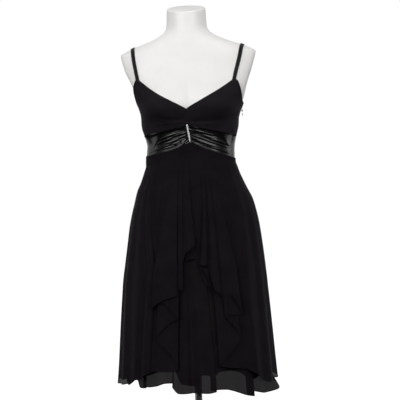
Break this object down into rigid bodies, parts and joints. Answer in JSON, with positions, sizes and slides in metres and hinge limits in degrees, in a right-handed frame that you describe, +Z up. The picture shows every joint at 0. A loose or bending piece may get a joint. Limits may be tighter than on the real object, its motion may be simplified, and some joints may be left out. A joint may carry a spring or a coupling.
{
  "type": "cocktail dress on a limbless dress form with stand",
  "caption": "Knee-length black chiffon dress with thin straps, pleated satin band and jewelled bar, draped overlay in front, on a white limbless dress form with a round stand.",
  "frame": {"origin": "centre of the stand's flat underside, on the axis of the pole", "axes": "+Z up along the pole; the dress faces -Y; +X is the wearer's left, which is on the right as seen from the front"},
  "size_m": [0.4328, 0.389, 1.3362],
  "materials": {
    "chiffon": "matte, fine and sheer",
    "satin": "satin",
    "lining": "matte, opaque",
    "form_shell": "smooth, soft sheen",
    "steel": "brushed",
    "diamante": "polished, set with clear stones",
    "zip_metal": "polished"
  },
  "bodies": {
    "dress_on_form": {"form_torso": "form_shell", "stand_pole": "steel", "stand_base": "steel", "stand_collar": "steel", "bodice_front_left": "chiffon", "bodice_front_right": "chiffon", "bodice_back": "chiffon", "neckline_binding_left": "satin", "neckline_binding_right": "satin", "armhole_binding_left": "satin", "armhole_binding_right": "satin", "strap_left": "satin", "strap_right": "satin", "band_front_left": "satin", "band_front_right": "satin", "band_back": "satin", "brooch_bar": "diamante", "overlay_front": "chiffon", "overlay_back": "chiffon", "underskirt_front": "chiffon", "underskirt_back": "chiffon", "lining_front": "lining", "lining_back": "lining", "zip_slider": "zip_metal"},
    "pull_tab": {"zip_pull_tab": "zip_metal"}
  },
  "joints": [
    {"name": "pull_tab_swing", "type": "hinge", "parent": "dress_on_form", "child": "pull_tab", "pos_m": [0.14466, 0.00324, 1.03736], "axis": [0, -1, 0], "range_deg": [-10, 140]}
  ]
}
